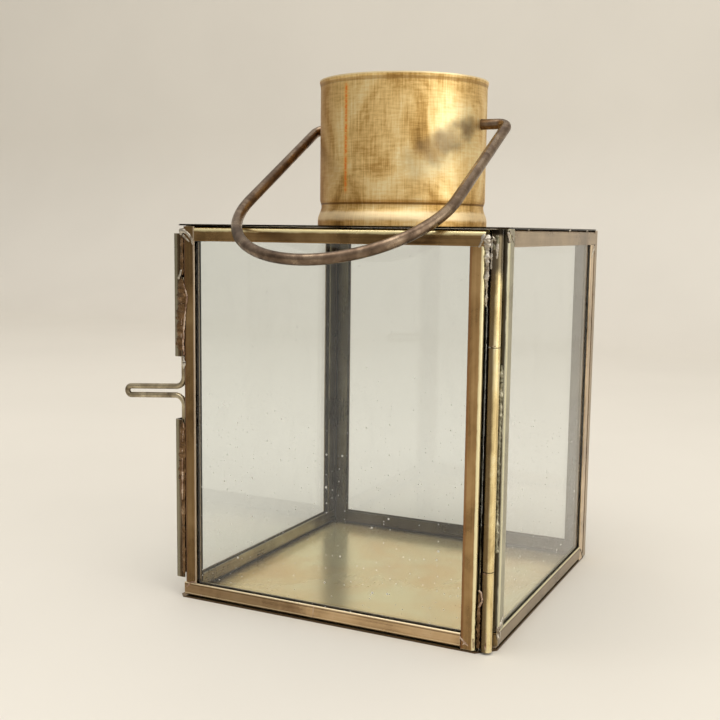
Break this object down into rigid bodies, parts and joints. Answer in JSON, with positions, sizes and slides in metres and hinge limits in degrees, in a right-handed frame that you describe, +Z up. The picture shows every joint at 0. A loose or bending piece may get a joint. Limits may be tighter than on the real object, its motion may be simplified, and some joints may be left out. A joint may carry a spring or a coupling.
{
  "type": "candle lantern",
  "caption": "Square glass candle lantern framed in antique brass channel, with a hinged door and wire pull, a round open collar on top and a swinging wire bail.",
  "frame": {"origin": "centre of the base plate's underside, under the middle of the body's square plan", "axes": "+Z up through the collar, -Y out through the door, +X towards the door's hinge"},
  "size_m": [0.1082, 0.1082, 0.1402],
  "materials": {
    "came_brass": "antique brown patina, satin, edges rubbed bright",
    "plate_brass": "thin sheet, satin, scratched",
    "collar_brass": "brushed, with brown patina patches",
    "hinge_brass": "drawn tube, brighter than the channels",
    "wire_brass": "dark mottled patina on drawn wire",
    "solder": "grey tin solder, lumpy",
    "glass": "clear with a grey-green tint and fine dust"
  },
  "bodies": {
    "lantern_body": {"base_plate": "plate_brass", "top_plate": "plate_brass", "collar": "collar_brass", "left_pane": "glass", "left_top_came": "came_brass", "left_bottom_came": "came_brass", "left_front_came": "came_brass", "left_rear_came": "came_brass", "right_pane": "glass", "right_top_came": "came_brass", "right_bottom_came": "came_brass", "right_front_came": "came_brass", "right_rear_came": "came_brass", "back_pane": "glass", "back_top_came": "came_brass", "back_bottom_came": "came_brass", "back_left_came": "came_brass", "back_right_came": "came_brass", "corner_rod_left": "came_brass", "corner_rod_right": "came_brass", "hinge_pin": "hinge_brass", "hinge_knuckle_middle": "hinge_brass", "hinge_solder_body": "solder"},
    "door": {"door_pane": "glass", "door_top_came": "came_brass", "door_bottom_came": "came_brass", "door_pull_came": "came_brass", "door_hinge_came": "came_brass", "hinge_knuckle_lower": "hinge_brass", "hinge_knuckle_upper": "hinge_brass", "hinge_solder_door": "solder", "catch_lip_lower": "came_brass", "catch_lip_upper": "came_brass", "catch_solder": "solder", "pull_loop": "wire_brass"},
    "bail": {"bail": "wire_brass"}
  },
  "joints": [
    {"name": "door_swing", "type": "hinge", "parent": "lantern_body", "child": "door", "pos_m": [0.0428, -0.04325, 0.05], "axis": [0, 0, 1], "range_deg": [0, 180]},
    {"name": "bail_swing", "type": "hinge", "parent": "lantern_body", "child": "bail", "pos_m": [0, 0, 0.1283], "axis": [-1, 0, 0], "range_deg": [0, 239]}
  ],
  "couplings": [
    {"joint": "bail_swing", "follows": "door_swing", "ratio": 1.3277}
  ]
}
